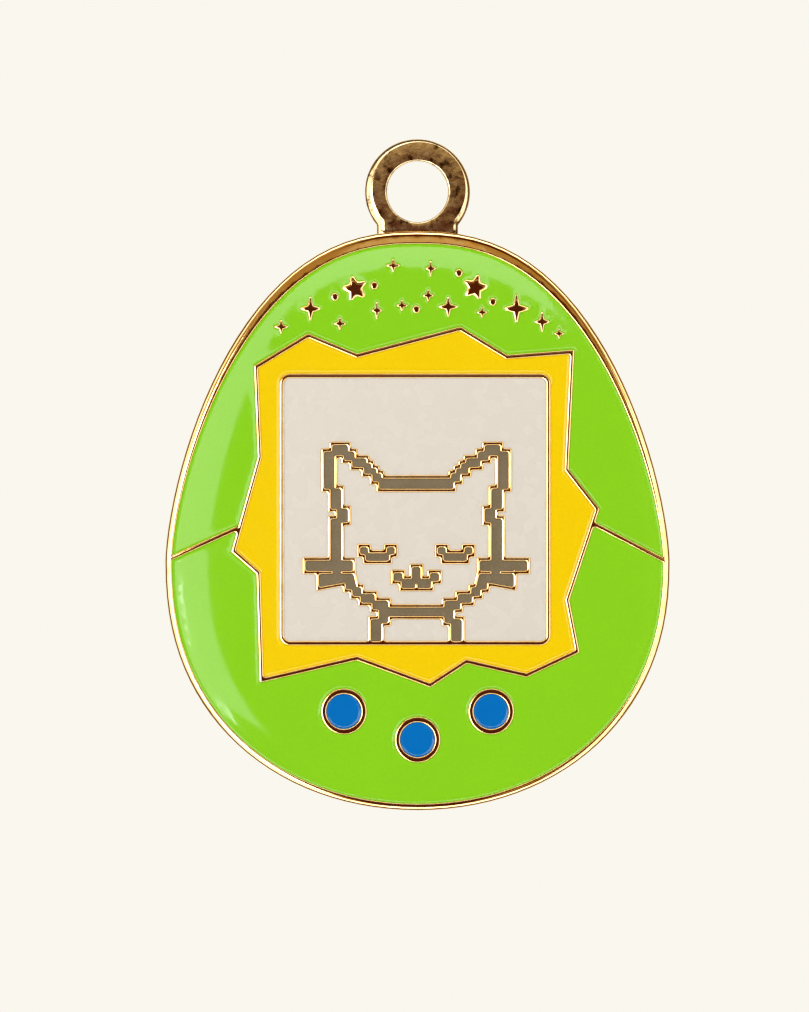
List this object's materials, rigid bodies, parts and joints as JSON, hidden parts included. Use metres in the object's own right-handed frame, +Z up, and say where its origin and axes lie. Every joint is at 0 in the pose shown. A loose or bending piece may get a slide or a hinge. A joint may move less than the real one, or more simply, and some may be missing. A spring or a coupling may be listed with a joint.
{
  "type": "enamel keychain charm",
  "caption": "Flat egg-shaped virtual pet charm: a gold-plated casting with enamel cells, a pixel cat on its screen, buttons, and a loop on top to hang it by.",
  "frame": {"origin": "middle of the hole of the hanging loop, halfway through the loop's thickness", "axes": "+X to the right as seen from the front, +Z up through the loop, the enamelled front faces -Y"},
  "size_m": [0.0404, 0.0024, 0.0536],
  "materials": {
    "gold_plate": "polished gold plate",
    "green_enamel": "glossy enamel",
    "yellow_enamel": "glossy enamel",
    "pale_enamel": "soft-gloss enamel",
    "dark_enamel": "soft-gloss enamel",
    "blue_enamel": "glossy enamel"
  },
  "bodies": {
    "root": {"metal_casting": "gold_plate", "enamel_green_upper": "green_enamel", "enamel_green_lower": "green_enamel", "enamel_yellow_frame": "yellow_enamel", "enamel_screen_ground": "pale_enamel", "enamel_cat_face": "pale_enamel", "enamel_cat_neck": "pale_enamel", "enamel_cat_outline": "dark_enamel", "enamel_eye_left": "dark_enamel", "enamel_eye_right": "dark_enamel", "enamel_muzzle": "dark_enamel", "enamel_button_left": "blue_enamel", "enamel_button_middle": "blue_enamel", "enamel_button_right": "blue_enamel"}
  },
  "joints": []
}
